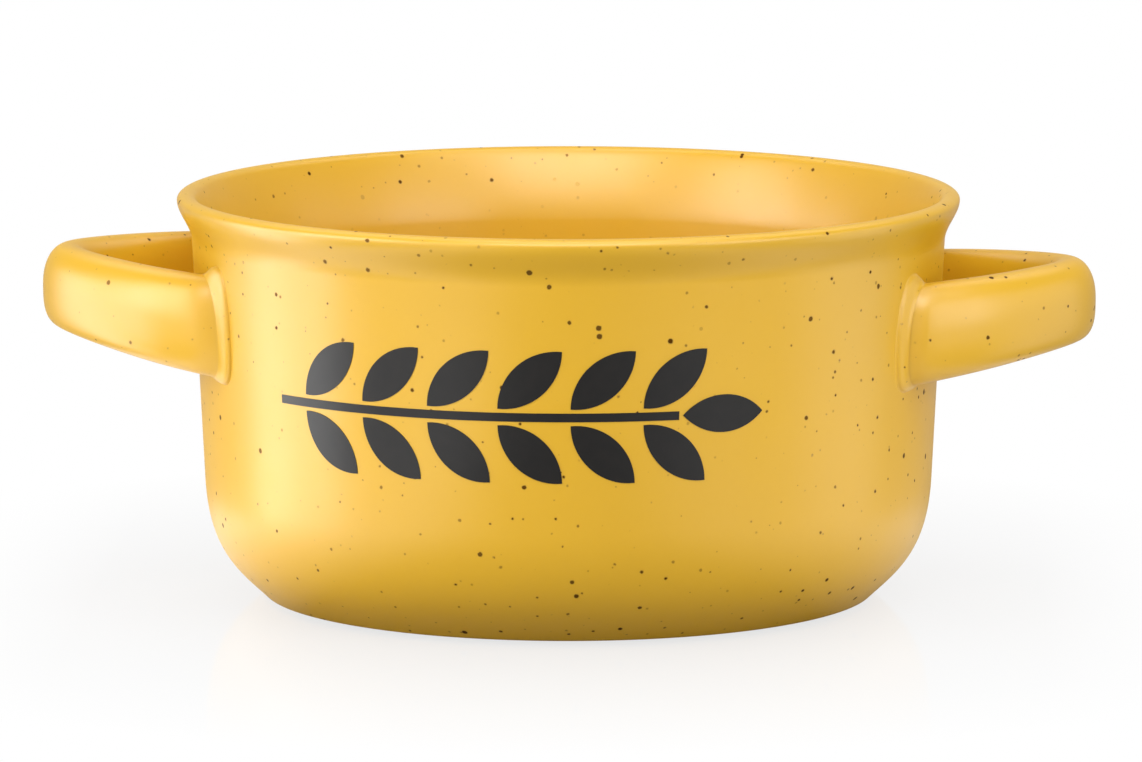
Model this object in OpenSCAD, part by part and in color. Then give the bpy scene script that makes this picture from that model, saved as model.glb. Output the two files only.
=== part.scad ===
// Soup mug: a low, wide stoneware bowl with a flared lip, two strap handles
// and a black print on the front wall.
// Millimetres. Z is up, the origin is on the table under the middle of the foot ring,
// the front faces -Y and the handles lie along X.

/* [Bowl] */
// diameter over the lip at its widest
rim_d = 140; // [132:1:150]
// height of the top of the lip above the table
rim_h = 72.6; // [68:0.2:80]
// wall thickness with its glaze
wall_t = 4.6; // [3.6:0.1:6]
// thickness of the floor with its glaze, in the middle
floor_t = 4.4; // [3.4:0.1:6]
// lean of the wall from upright, in degrees
wall_lean = 2.8; // [1.5:0.1:4]
// height at which the bottom corner runs into the wall
corner_h = 21.2; // [18:0.2:24]
// width of the bottom corner, from the wall in to where it starts
corner_w = 10.4; // [8.4:0.2:12]
// height of the start of the bottom corner above the glazed base
base_rise = 0.3; // [0.2:0.1:1.4]
// slope of the bottom corner where it starts, in degrees
base_slope = 44; // [38:1:52]
// pull of the bottom corner's curve at its start
base_pull = 6.4; // [4:0.2:8]
// pull of the bottom corner's curve at the wall
wall_pull = 13; // [10:0.2:15]
// height of the inside corner above the outside one where they meet the wall
in_rise = 3; // [1:0.5:5]
// width of the inside bottom corner
in_corner_w = 20; // [16:0.5:24]
// pull of the inside corner's curve at the wall
in_wall_pull = 9; // [6:0.5:11]
// pull of the inside corner's curve at the floor
floor_pull = 11; // [7:0.5:13]

/* [Lip] */
// how far the lip flares out past the wall
flare_out = 2.65; // [1.5:0.05:4]
// height of the flare below the widest line of the lip
flare_h = 7.2; // [5:0.2:9]
// drop from the top of the lip to its widest line
lip_drop = 1.2; // [1:0.1:2.2]
// width of the lip from its widest line in to the top
lip_out_w = 1.8; // [1.4:0.1:2.6]
// radius of the inside edge of the lip
lip_in_r = 1.8; // [1.4:0.1:2.8]
// slope at which the inside edge of the lip runs into the throat, in degrees
lip_in_slope = 58; // [40:1:65]
// pull of the flare's curve at the wall
flare_pull = 2.8; // [1.5:0.1:3.4]
// pull of the flare's curve at the lip
lip_pull = 2.1; // [1:0.1:2.6]
// how far the throat inside the lip runs down past the flare
throat_h = 5; // [4:0.2:8]
// pull of the throat's curve at the lip
throat_pull = 1.8; // [1.2:0.2:4]
// pull of the throat's curve at the wall
throat_wall_pull = 3.4; // [2.4:0.2:6]

/* [Foot] */
// how far the bare foot ring stands in from the start of the bottom corner
foot_in = 4.3; // [3.8:0.1:7]
// bevel on the outer edge of the foot ring
foot_bevel = 0.4; // [0.2:0.1:0.6]
// width of the ring that stands on the table
foot_w = 5; // [3:0.5:8]
// height of the foot ring below the glazed base
foot_h = 0.4; // [0.3:0.1:1.2]
// depth of the hollow inside the foot ring
foot_hollow = 1.8; // [1:0.1:2.4]

/* [Glaze] */
// thickness of the glaze coat
glaze_t = 0.4; // [0.3:0.05:0.6]
// bare clay between the foot ring and the edge of the glaze
glaze_gap = 1.1; // [0.6:0.1:1.4]
// roll of the glaze under the bottom corner
glaze_roll = 1.6; // [1:0.1:2]

/* [Handles] */
// how far a handle stands out past the lip
handle_out = 24.4; // [21:0.2:30]
// distance between the middles of the two legs of a handle at the wall
spread_root = 51.4; // [47:0.2:55]
// distance between the two legs that they lean in to at the tip
spread_tip = 26.4; // [22:0.2:40]
// length of the straight legs from the wall to the bow
leg_l = 8; // [6:0.2:10]
// thickness of the strap
strap_t = 9.4; // [7:0.2:10.4]
// height of the strap at the wall
strap_h_root = 18; // [14:0.2:20]
// height of the strap at its tip
strap_h_tip = 14.8; // [12:0.2:18]
// rise of the top of the strap from the wall to its tip
tip_rise = 1.9; // [0:0.1:4]
// plain wall between the flare of the lip and a collar
root_gap = 2.1; // [1.6:0.1:5]
// roundness of the bow in plan, where 2 is an ellipse
bow_n = 2.05; // [1.9:0.05:2.8]
// roundness of the upper half of the strap's section, where 2 is an ellipse
strap_n_top = 2.2; // [2:0.05:3]
// roundness of the lower half of the strap's section
strap_n_low = 3; // [2:0.05:3.4]

/* [Set of the handles, as stuck on by hand] */
// how far the left handle sits above its true height
left_lift = 0.8; // [-1.4:0.1:1.4]
// tilt of the left handle, with its rear leg higher, in degrees
left_tilt = 1; // [-1.2:0.1:1.2]
// how far the right handle sits above its true height
right_lift = -1; // [-1.4:0.1:1.4]
// tilt of the right handle, with its rear leg higher, in degrees
right_tilt = -0.6; // [-1.2:0.1:1.2]

/* [Slip joints] */
// thickness of the slip between the end of the strap and the wall
slip_t = 0.5; // [0.3:0.1:0.8]
// how far the squeezed-out collar spreads over the wall at the sides of the strap
collar_w = 2; // [1.6:0.1:3.2]
// how far the collar spreads over the wall above and below the strap
collar_h = 2; // [1.4:0.1:2.6]
// how far the collar runs out along the strap
collar_l = 4.2; // [3:0.1:4.6]
// height of the rounded edge of the collar above the glaze
bead_h = 0.8; // [0.5:0.1:1.2]
// thickness at which the collar ends on the strap
feather = 0.12; // [0.08:0.02:0.2]

/* [Print] */
// drop of the print below the middle of the straight wall
print_drop = 1.2; // [-3:0.2:4]
// turn of the print round the bowl from the front, in degrees
print_turn = -7.5; // [-12:0.5:12]
// thickness of the print
print_t = 0.1; // [0.05:0.05:0.2]
// pairs of leaves on the sprig
leaf_pairs = 6; // [3:1:7]
// length of a leaf
leaf_l = 15; // [10:0.5:16]
// width of a leaf
leaf_w = 6.6; // [4:0.2:7.4]
// lean of a leaf from the stem, in degrees
leaf_lean = 42; // [30:1:50]
// gap between the stem and a leaf
leaf_gap = 0.7; // [0.4:0.1:1.2]
// spacing of the leaf pairs along the wall
leaf_pitch = 12.6; // [11.6:0.2:13]
// width of the stem
stem_w = 1.5; // [1:0.1:2.4]

/* [Hidden] */

GLAZE = [0.93, 0.72, 0.20];
CLAY = [0.86, 0.80, 0.69];
PRINT = [0.10, 0.09, 0.09];

$fn = 96;

// steps on a long curve, on a short curve, over the bead, round the strap and along the bow,
// and the turn either side of a ring that gives the run of the bow there
long_steps = 12;
short_steps = 6;
bead_steps = 3;
around = 28;
bow_steps = 26;
bow_nudge = 0.5;

// profile points of the glazed surface, as radius and height
lip_r = rim_d / 2;
lip_z = rim_h - lip_drop;
crest_r = lip_r - lip_out_w;
wall_slope = tan(wall_lean);
wall_run = [sin(wall_lean), cos(wall_lean)];
wall_top = [lip_r - flare_out, lip_z - flare_h];
wall_low = [wall_top.x - (wall_top.y - corner_h) * wall_slope, corner_h];
base_run = [cos(base_slope), sin(base_slope)];
base_start = [wall_low.x - corner_w, foot_h + base_rise];
foot_r = base_start.x - foot_in;
glaze_edge = [foot_r + glaze_gap, foot_h];
in_run = [-cos(lip_in_slope), -sin(lip_in_slope)];
in_edge = [crest_r - lip_in_r * sin(lip_in_slope), rim_h - lip_in_r * (1 - cos(lip_in_slope))];
in_top = [wall_top.x - wall_t - wall_slope * throat_h, wall_top.y - throat_h];
in_low_z = corner_h + in_rise;
in_low = [in_top.x - (in_top.y - in_low_z) * wall_slope, in_low_z];
floor_z = foot_hollow + floor_t;
floor_r = in_low.x - in_corner_w;

// a cubic curve from a to d, part of an ellipse, and small tools for lists of points
function bez(a, b, c, d, n) = [for (i = [0 : n])
    let (t = i / n, s = 1 - t)
    s * s * s * a + 3 * s * s * t * b + 3 * s * t * t * c + t * t * t * d];
function arc(c, rx, rz, from, to, n) = [for (i = [0 : n])
    let (w = from + (to - from) * i / n)
    c + [rx * cos(w), rz * sin(w)]];
function rest(v) = [for (i = [1 : len(v) - 1]) v[i]];
function back(v) = [for (i = [len(v) - 1 : -1 : 0]) v[i]];
function unit(v) = v / norm(v);

base_roll = bez(glaze_edge, glaze_edge + [glaze_roll, 0], base_start - base_rise * base_run, base_start,
                short_steps);
corner = bez(base_start, base_start + base_pull * base_run, wall_low - wall_pull * wall_run, wall_low,
             long_steps);
flare = bez(wall_top, wall_top + flare_pull * wall_run, [lip_r, lip_z - lip_pull], [lip_r, lip_z],
            long_steps);
lip_outside = arc([crest_r, lip_z], lip_r - crest_r, lip_drop, 0, 90, short_steps);
lip_inside = arc([crest_r, rim_h - lip_in_r], lip_in_r, lip_in_r, 90, 90 + lip_in_slope, short_steps);
throat = bez(in_edge, in_edge + throat_pull * in_run, in_top + throat_wall_pull * wall_run, in_top,
             long_steps);
in_corner = bez(in_low, in_low - in_wall_pull * wall_run, [floor_r + floor_pull, floor_z],
                [floor_r, floor_z], long_steps);
skin = concat(base_roll, rest(corner), flare, rest(lip_outside), rest(lip_inside), rest(throat), in_corner,
              [[0, floor_z]]);
last = len(skin) - 1;

// the same line moved in by the glaze: the clay under the coat
function run_at(i) = unit(skin[min(i + 1, last)] - skin[max(i - 1, 0)]);
clay = [for (i = [0 : last])
    let (r = run_at(i))
    i == last ? skin[i] - [0, glaze_t] : i == 0 ? skin[i] + [0, glaze_t] : skin[i] + glaze_t * [-r.y, r.x]];

// radius of the glazed wall and of the clay wall at a height on its straight part
function glaze_r(z) = wall_low.x + (z - wall_low.y) * wall_slope;
function clay_r(z) = glaze_r(z) - glaze_t / cos(wall_lean);

// strap of the right handle: section and place along X, k is 0 at the tip and 1 at the wall
tip_x = lip_r + handle_out - strap_t / 2;
root_top = wall_top.y - root_gap - collar_h;
root_mid_z = root_top - strap_h_root / 2;
root_x = sqrt(pow(clay_r(root_mid_z), 2) - pow(spread_root / 2, 2));
leg_x = root_x + leg_l;

function spow(v, e) = sign(v) * pow(abs(v), e);
function sec_e(u) = 2 / (sin(u) > 0 ? strap_n_top : strap_n_low);
function sec_c(u) = spow(cos(u), sec_e(u));
function sec_s(u) = spow(sin(u), sec_e(u));
function mix(a, b, t) = a + (b - a) * t;
function share(x) = (tip_x - x) / (tip_x - root_x);
function top_at(k) = mix(root_top + tip_rise, root_top, k);
function half_h(k) = mix(strap_h_tip, strap_h_root, k) / 2;
function half_spread(k) = mix(spread_tip, spread_root, k) / 2;
function strap_z(u, s, f, k) = top_at(k) - half_h(k) + s * (half_h(k) + f * collar_h) * sec_s(u);

// the set of a handle: its lift, and its rise towards the rear; flip gives it for a handle seen in a mirror
right_set = [right_lift, tan(right_tilt)];
left_set = [left_lift, tan(left_tilt)];
function flip(set) = [set[0], -set[1]];
function set_z(set, y) = set[0] + set[1] * y;

// a point of the front leg near the wall: s shrinks the section, f is the share of the collar round it,
// d is the distance from the clay, w is 0 for the upright outline of the pad and 1 for the run of the strap
function leg_point(u, s, f, k, set) =
    let (y = -half_spread(k) - s * (strap_t / 2 + f * collar_w) * sec_c(u))
    [y, strap_z(u, s, f, k) + set_z(set, y)];
function wall_x(p) = sqrt(pow(clay_r(p[1]), 2) - p[0] * p[0]);
function near_wall(u, s, f, d, w, set) =
    let (
        x0 = wall_x(leg_point(u, s, f, 1, set)) + d,
        x1 = wall_x(leg_point(u, s, f, mix(1, share(x0), w), set)) + d,
        x2 = wall_x(leg_point(u, s, f, mix(1, share(x1), w), set)) + d,
        p = leg_point(u, s, f, mix(1, share(x2), w), set)
    )
    [x2, p[0], p[1]];
function turn(i) = 360 * i / around;
function wall_ring(s, f, d, w, set) = [for (i = [0 : around - 1]) near_wall(turn(i), s, f, d, w, set)];
function end_rings(d, w, set) = [for (s = [1 / 3, 2 / 3, 1]) wall_ring(s, 0, d, w, set)];

// the middle line of the bow at angle a, from the front leg at -90 to the rear leg at 90, and its rings
function bow_mid(a) =
    let (x = leg_x + (tip_x - leg_x) * spow(cos(a), 2 / bow_n))
    [x, half_spread(share(x)) * spow(sin(a), 2 / bow_n)];
function bow_ring(a, set) =
    let (
        c = bow_mid(a),
        run = unit(bow_mid(a + bow_nudge) - bow_mid(a - bow_nudge))
    )
    [for (i = [0 : around - 1])
        let (o = strap_t / 2 * sec_c(turn(i)), y = c.y - o * run.x)
        [c.x + o * run.y, y, strap_z(turn(i), 1, 0, share(c.x)) + set_z(set, y)]];
function to_rear(ring) = [for (p = ring) [p.x, -p.y, p.z]];
function leg_mid(set) =
    let (a = wall_ring(1, 0, slip_t, 1, set), b = bow_ring(-90, set))
    [for (i = [0 : around - 1]) (a[i] + b[i]) / 2];
function leg_rings(set) = concat(end_rings(slip_t, 1, set), [leg_mid(set)]);
function bow_rings(set) = [for (i = [0 : bow_steps]) bow_ring(-90 + 180 * i / bow_steps, set)];
function strap_pole(set) = near_wall(0, 0, 0, slip_t, 1, set);

// collar of a slip joint: pad on the clay, upright edge through the glaze, rounded bead,
// hollow run to the strap; each step is its share of the collar, distance from the clay and run of the strap
bead_top = glaze_t + bead_h;
bead_share = bead_h / collar_w;
feather_share = feather / collar_w;
bead = [for (i = [1 : bead_steps])
    let (w = 90 * i / bead_steps)
    [1 - bead_share + bead_share * cos(w), glaze_t + bead_h * sin(w), 0]];
hollow = [for (i = [1 : short_steps])
    let (t = i / short_steps)
    [mix(1 - bead_share, feather_share, 1 - pow(1 - t, 2)), mix(bead_top, collar_l, t * t), t]];
collar = concat([[1, 0, 0], [1, glaze_t, 0]], bead, hollow, [[0, collar_l, 1]]);
function joint_rings(set) = concat(
    end_rings(0, 0, set),
    [for (c = collar) wall_ring(1, c[0], c[1], c[2], set)],
    back(end_rings(slip_t, 1, set)));

// closed skin through rings of equal count, with a point at each end
module rings_solid(pole_a, rings, pole_b) {
    n = len(rings);
    m = len(rings[0]);
    pts = concat([pole_a], [for (r = rings) each r], [pole_b]);
    end = n * m + 1;
    sides = [for (j = [0 : n - 2], i = [0 : m - 1])
        let (a = 1 + j * m + i, b = 1 + j * m + (i + 1) % m, c = b + m, d = a + m)
        each [[a, b, c], [a, c, d]]];
    cap_a = [for (i = [0 : m - 1]) [0, 1 + (i + 1) % m, 1 + i]];
    cap_b = [for (i = [0 : m - 1]) [end, end - m + i, end - m + (i + 1) % m]];
    polyhedron(points = pts, faces = concat(sides, cap_a, cap_b), convexity = 6);
}

module strap(set) {
    front = leg_rings(set);
    rear = back([for (r = leg_rings(flip(set))) to_rear(r)]);
    rear_pole = to_rear([strap_pole(flip(set))])[0];
    rings_solid(strap_pole(set), concat(front, bow_rings(set), rear), rear_pole);
}

module slip_joint(set) rings_solid(near_wall(0, 0, 0, 0, 0, set), joint_rings(set), strap_pole(set));

// hole for a pad through the outside glaze, cut from the middle of the wall outwards
module pad_hole(set) {
    difference() {
        rotate([90, 0, 90])
            linear_extrude(height = lip_r)
                polygon([for (i = [0 : around - 1]) leg_point(turn(i), 1, 1, 1, set)]);
        cylinder(r = clay_r(root_mid_z) - wall_t / 2, h = rim_h);
    }
}

module pad_holes(set) {
    pad_hole(set);
    mirror([0, 1, 0])
        pad_hole(flip(set));
}

module bowl_body() {
    under = [
        [0, foot_hollow],
        [foot_r - foot_w - foot_hollow, foot_hollow],
        [foot_r - foot_w, 0],
        [foot_r - foot_bevel, 0],
        [foot_r, foot_bevel],
        [foot_r, clay[0].y]
    ];
    color(CLAY)
        rotate_extrude()
            polygon(concat(under, clay));
}

module glaze_coat() {
    color(GLAZE)
        difference() {
            rotate_extrude()
                polygon(concat(skin, back(clay)));
            pad_holes(right_set);
            mirror([1, 0, 0])
                pad_holes(left_set);
        }
}

module right_handle() {
    color(GLAZE)
        strap(right_set);
}

module left_handle() {
    color(GLAZE)
        mirror([1, 0, 0])
            strap(left_set);
}

module right_front_slip_joint() {
    color(GLAZE)
        slip_joint(right_set);
}

module right_rear_slip_joint() {
    color(GLAZE)
        mirror([0, 1, 0])
            slip_joint(flip(right_set));
}

module left_front_slip_joint() {
    color(GLAZE)
        mirror([1, 0, 0])
            slip_joint(left_set);
}

module left_rear_slip_joint() {
    color(GLAZE)
        mirror([1, 0, 0])
            mirror([0, 1, 0])
                slip_joint(flip(left_set));
}

// height of the middle of the print, and turn round the bowl for a length along the wall there
print_z = (wall_low.y + wall_top.y) / 2 - print_drop;
function wall_turn(along) = along / glaze_r(print_z) * 180 / PI;

// a leaf with two round edges, its base at the origin and its tip along X
module leaf() {
    r = (leaf_l * leaf_l + leaf_w * leaf_w) / (4 * leaf_w);
    intersection() {
        translate([leaf_l / 2, r - leaf_w / 2])
            circle(r = r);
        translate([leaf_l / 2, leaf_w / 2 - r])
            circle(r = r);
    }
}

// a flat outline set on the wall, along is the way round the front from the middle of the print
module on_wall(along) {
    rotate([0, 0, wall_turn(along) + print_turn])
        translate([0, -glaze_r(print_z), print_z])
            rotate([90, 0, 0])
                linear_extrude(height = leaf_l, center = true)
                    children();
}

module front_print() {
    low = print_z - leaf_l;
    high = print_z + leaf_l;
    span = leaf_pairs * leaf_pitch;
    start = -(span + leaf_l) / 2;
    rise = stem_w / 2 + leaf_gap;
    color(PRINT) {
        intersection() {
            rotate_extrude()
                polygon([[glaze_r(low), low], [glaze_r(low) + print_t, low],
                         [glaze_r(high) + print_t, high], [glaze_r(high), high]]);
            union() {
                for (i = [0 : leaf_pairs - 1], side = [-1, 1])
                    on_wall(start + i * leaf_pitch + leaf_pitch / 2)
                        translate([0, side * rise])
                            rotate(side * leaf_lean)
                                leaf();
                on_wall(start + span + leaf_gap)
                    leaf();
            }
        }
        rotate([0, 0, wall_turn(start) + print_turn - 90])
            rotate_extrude(angle = wall_turn(span))
                polygon([for (c = [[0, -1], [1, -1], [1, 1], [0, 1]])
                    let (z = print_z + c[1] * stem_w / 2)
                    [glaze_r(z) + c[0] * print_t, z]]);
    }
}

bowl_body();
glaze_coat();
left_handle();
right_handle();
left_front_slip_joint();
left_rear_slip_joint();
right_front_slip_joint();
right_rear_slip_joint();
front_print();
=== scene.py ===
"""Soup mug: the dressed model of a low, wide stoneware mug with two strap handles.

Sizes are in millimetres up to the last step of each mesh, which is in metres in the frame of the
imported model: Z up, the front towards -Y, the handles along X and the table at Z = 0.
"""

import logging
import math
from dataclasses import asdict, dataclass, fields
from enum import Enum
from types import SimpleNamespace
from typing import Mapping, Optional, Sequence, Union

import bmesh
import bpy
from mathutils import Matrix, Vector


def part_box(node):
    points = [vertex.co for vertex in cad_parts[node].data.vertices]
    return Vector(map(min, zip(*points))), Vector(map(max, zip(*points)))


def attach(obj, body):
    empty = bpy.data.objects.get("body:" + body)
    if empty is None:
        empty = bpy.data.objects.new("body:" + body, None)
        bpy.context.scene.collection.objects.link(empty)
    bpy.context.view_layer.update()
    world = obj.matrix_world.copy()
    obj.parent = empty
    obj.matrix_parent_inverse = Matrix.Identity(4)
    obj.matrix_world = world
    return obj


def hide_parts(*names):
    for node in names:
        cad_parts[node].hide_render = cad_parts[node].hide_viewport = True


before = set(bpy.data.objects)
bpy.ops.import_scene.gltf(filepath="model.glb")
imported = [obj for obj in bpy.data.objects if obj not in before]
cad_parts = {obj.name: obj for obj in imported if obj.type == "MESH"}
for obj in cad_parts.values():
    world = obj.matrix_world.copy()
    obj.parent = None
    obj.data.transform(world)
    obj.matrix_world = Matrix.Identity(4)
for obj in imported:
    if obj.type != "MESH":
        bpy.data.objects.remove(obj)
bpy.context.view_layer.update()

LOG = logging.getLogger("soup_mug")
MM = 0.001
BODY = "root"

Scalar = Union[float, int, "Term"]
Setting = Union[str, float, int, bool]
Feed = Union["Term", float, int, bool, str, Sequence[float]]
Colour = tuple[float, float, float, float]

WHITE: Colour = (1.0, 1.0, 1.0, 1.0)


class Term:
    """A node socket that stands in a Python expression, where each operator adds a Math node."""

    def __init__(self, graph: "Graph", socket: bpy.types.NodeSocket) -> None:
        """Hold a socket and the graph that it is in."""
        self.graph = graph
        self.socket = socket

    def out(self, name: str) -> "Term":
        """Another output of the same node."""
        return Term(self.graph, self.socket.node.outputs[name])

    def __add__(self, other: Scalar) -> "Term":
        """The sum."""
        return self.graph.math("ADD", self, other)

    def __radd__(self, other: Scalar) -> "Term":
        """The sum with a number in front."""
        return self.graph.math("ADD", other, self)

    def __sub__(self, other: Scalar) -> "Term":
        """The difference."""
        return self.graph.math("SUBTRACT", self, other)

    def __rsub__(self, other: Scalar) -> "Term":
        """The difference from a number in front."""
        return self.graph.math("SUBTRACT", other, self)

    def __neg__(self) -> "Term":
        """The value with its sign changed."""
        return self * -1.0

    def __mul__(self, other: Scalar) -> "Term":
        """The product."""
        return self.graph.math("MULTIPLY", self, other)

    def __rmul__(self, other: Scalar) -> "Term":
        """The product with a number in front."""
        return self.graph.math("MULTIPLY", other, self)

    def __truediv__(self, other: Scalar) -> "Term":
        """The quotient."""
        return self.graph.math("DIVIDE", self, other)

    def __rtruediv__(self, other: Scalar) -> "Term":
        """The quotient of a number in front."""
        return self.graph.math("DIVIDE", other, self)

    def __pow__(self, other: Scalar) -> "Term":
        """The power."""
        return self.graph.math("POWER", self, other)


class Graph:
    """A node tree that is written as expressions."""

    MIX_SHARE, MIX_UNDER, MIX_OVER, MIX_RESULT = 0, 6, 7, 2

    def __init__(self, tree: bpy.types.NodeTree) -> None:
        """Hold the tree that nodes are added to."""
        self.tree = tree

    def feed(self, socket: bpy.types.NodeSocket, value: Feed) -> None:
        """Link a term to a socket, or set the socket's own value.

        Args:
            socket: the socket.
            value: a term, or the value itself.
        """
        if isinstance(value, Term):
            self.tree.links.new(value.socket, socket)
        else:
            socket.default_value = value

    def node(self, kind: str, settings: Optional[Mapping[str, Setting]] = None,
             inputs: Optional[Mapping[Union[str, int], Feed]] = None, out: Union[str, int] = 0) -> Term:
        """Add a node.

        Args:
            kind: Blender's name for the type of node.
            settings: the node's own settings, set before its sockets.
            inputs: a value or a term for each socket, by name or number.
            out: the output that the term stands for.

        Returns:
            The term of that output.
        """
        made = self.tree.nodes.new(kind)
        for name, value in (settings or {}).items():
            setattr(made, name, value)
        for key, value in (inputs or {}).items():
            self.feed(made.inputs[key], value)
        return Term(self, made.outputs[out])

    def math(self, operation: str, *values: Scalar) -> Term:
        """Add a Math node on up to three values."""
        return self.node("ShaderNodeMath", {"operation": operation}, dict(enumerate(values)))

    def clamped(self, value: Scalar) -> Term:
        """A value held between 0 and 1."""
        return self.node("ShaderNodeClamp", inputs={"Value": value})

    def vector(self, operation: str, *values: Feed) -> Term:
        """Add a Vector Math node on up to three vectors."""
        return self.node("ShaderNodeVectorMath", {"operation": operation}, dict(enumerate(values)))

    def tint(self, share: Scalar, under: Feed, over: Feed) -> Term:
        """Mix two colours, from under at a share of 0 to over at 1."""
        return self.node("ShaderNodeMix", {"data_type": "RGBA"}, {
            self.MIX_SHARE: share, self.MIX_UNDER: under, self.MIX_OVER: over}, out=self.MIX_RESULT)

    def point(self, x: Scalar = 0.0, y: Scalar = 0.0, z: Scalar = 0.0) -> Term:
        """A vector from its three parts."""
        return self.node("ShaderNodeCombineXYZ", inputs={"X": x, "Y": y, "Z": z})

    def parts(self, vector: Term) -> tuple[Term, Term, Term]:
        """The three parts of a vector."""
        x = self.node("ShaderNodeSeparateXYZ", inputs={"Vector": vector}, out="X")
        return x, x.out("Y"), x.out("Z")


class SocketKind(Enum):
    """The kinds of named input that a shape tree has."""

    SIZE = "NodeSocketFloat"
    COUNT = "NodeSocketInt"
    FINISH = "NodeSocketMaterial"
    SHAPE = "NodeSocketGeometry"


class ShapeTree:
    """A geometry node tree with named inputs, run on a seed mesh and turned into a plain mesh."""

    SHARP_EDGE = math.radians(50)
    SEAM = MM / 500

    def __init__(self, name: str) -> None:
        """Start an empty tree with its seed, its finish and its result.

        Args:
            name: the name of the tree.
        """
        self.tree = bpy.data.node_groups.new(name, "GeometryNodeTree")
        self.graph = Graph(self.tree)
        self.identifiers: dict[str, str] = {}
        self.entry = self.tree.nodes.new("NodeGroupInput")
        self.exit = self.tree.nodes.new("NodeGroupOutput")
        self.seed = self.input("Seed", SocketKind.SHAPE)
        self.finish = self.input("Finish", SocketKind.FINISH)
        self.tree.interface.new_socket("Shape", in_out="OUTPUT", socket_type=SocketKind.SHAPE.value)

    def input(self, name: str, kind: SocketKind = SocketKind.SIZE) -> Term:
        """Add a named input to the tree.

        Args:
            name: the name of the input.
            kind: what it takes.

        Returns:
            The term that the rest of the tree reads.
        """
        socket = self.tree.interface.new_socket(name, in_out="INPUT", socket_type=kind.value)
        self.identifiers[name] = socket.identifier
        found = next(o for o in self.entry.outputs if o.identifier == socket.identifier)
        return Term(self.graph, found)

    def sheet(self, around: Term) -> tuple[Term, Term, Term]:
        """Lay a grid with a row of points round each point of the seed.

        Args:
            around: the number of steps round.

        Returns:
            The grid, the number of each point's place along the seed, and its turn in radians.
        """
        g = self.graph
        along = g.node("GeometryNodeAttributeDomainSize", inputs={"Geometry": self.seed},
                       out="Point Count")
        grid = g.node("GeometryNodeMeshGrid", inputs={"Vertices X": around + 1, "Vertices Y": along})
        index = g.node("GeometryNodeInputIndex")
        column = g.math("FLOOR", (index + 0.5) / along)
        return grid, index - column * along, column * math.tau / around

    def sampled(self, name: str, station: Term) -> Term:
        """Read a named value of the seed at one of its points.

        Args:
            name: the name of the value.
            station: the number of the point.

        Returns:
            The value there.
        """
        g = self.graph
        value = g.node("GeometryNodeInputNamedAttribute", {"data_type": "FLOAT"}, {"Name": name})
        return g.node("GeometryNodeSampleIndex", {"data_type": "FLOAT", "domain": "POINT"},
                      {"Geometry": self.seed, "Value": value, "Index": station})

    def placed(self, shape: Term, x: Scalar, y: Scalar, z: Scalar) -> Term:
        """Move the points of a shape, and close its seams and poles.

        Args:
            shape: the shape.
            x: where a point goes along X, in millimetres.
            y: where it goes along Y.
            z: how high it goes.

        Returns:
            The shape in its place, in metres.
        """
        g = self.graph
        place = g.vector("MULTIPLY", g.point(x, y, z), (MM, MM, MM))
        return self.sealed(g.node("GeometryNodeSetPosition", inputs={"Geometry": shape, "Position": place}))

    def sealed(self, shape: Term) -> Term:
        """Merge the points of a shape that lie together, which closes its seams and poles."""
        return self.graph.node("GeometryNodeMergeByDistance", inputs={
            "Geometry": shape, "Distance": self.SEAM})

    def joined(self, *shapes: Term) -> Term:
        """Put shapes together as one.

        Args:
            *shapes: the shapes, in order.

        Returns:
            The whole.
        """
        whole = self.graph.node("GeometryNodeJoinGeometry")
        for shape in shapes:
            self.graph.feed(whole.socket.node.inputs["Geometry"], shape)
        return whole

    def close(self, shape: Term) -> None:
        """End the tree: smooth faces with sharp edges, real instances and the finish.

        Args:
            shape: the finished shape.
        """
        g = self.graph
        smooth = g.node("GeometryNodeSetShadeSmooth", {"domain": "FACE"}, {"Geometry": shape})
        bend = g.node("GeometryNodeInputMeshEdgeAngle", out="Unsigned Angle")
        edged = g.node("GeometryNodeSetShadeSmooth", {"domain": "EDGE"}, {
            "Geometry": smooth, "Selection": g.math("GREATER_THAN", bend, self.SHARP_EDGE),
            "Shade Smooth": False})
        real = g.node("GeometryNodeRealizeInstances", inputs={"Geometry": edged})
        dressed = g.node("GeometryNodeSetMaterial", inputs={"Geometry": real, "Material": self.finish})
        g.feed(self.exit.inputs["Shape"], dressed)

    def run(self, name: str, seed: bpy.types.Mesh, finish: bpy.types.Material,
            sizes: Mapping[str, float]) -> bpy.types.Object:
        """Run the tree once.

        Args:
            name: the name of the piece.
            seed: the mesh that the tree starts from, which is used up.
            finish: the material of the piece.
            sizes: a value for each named input.

        Returns:
            The piece, a plain mesh at the origin with its faces outwards.
        """
        piece = bpy.data.objects.new(name, seed)
        bpy.context.scene.collection.objects.link(piece)
        modifier = piece.modifiers.new(self.tree.name, "NODES")
        modifier.node_group = self.tree
        modifier[self.identifiers["Finish"]] = finish
        for size, value in sizes.items():
            modifier[self.identifiers[size]] = value
        evaluated = piece.evaluated_get(bpy.context.evaluated_depsgraph_get())
        made = bpy.data.meshes.new_from_object(evaluated)
        piece.modifiers.remove(modifier)
        piece.data = made
        bpy.data.meshes.remove(seed)
        face_outwards(made)
        return piece


def face_outwards(mesh: bpy.types.Mesh) -> None:
    """Turn the faces of a closed mesh round if they point inwards.

    Args:
        mesh: the mesh.
    """
    work = bmesh.new()
    work.from_mesh(mesh)
    if work.calc_volume(signed=True) < 0:
        mesh.flip_normals()
    work.free()


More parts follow.
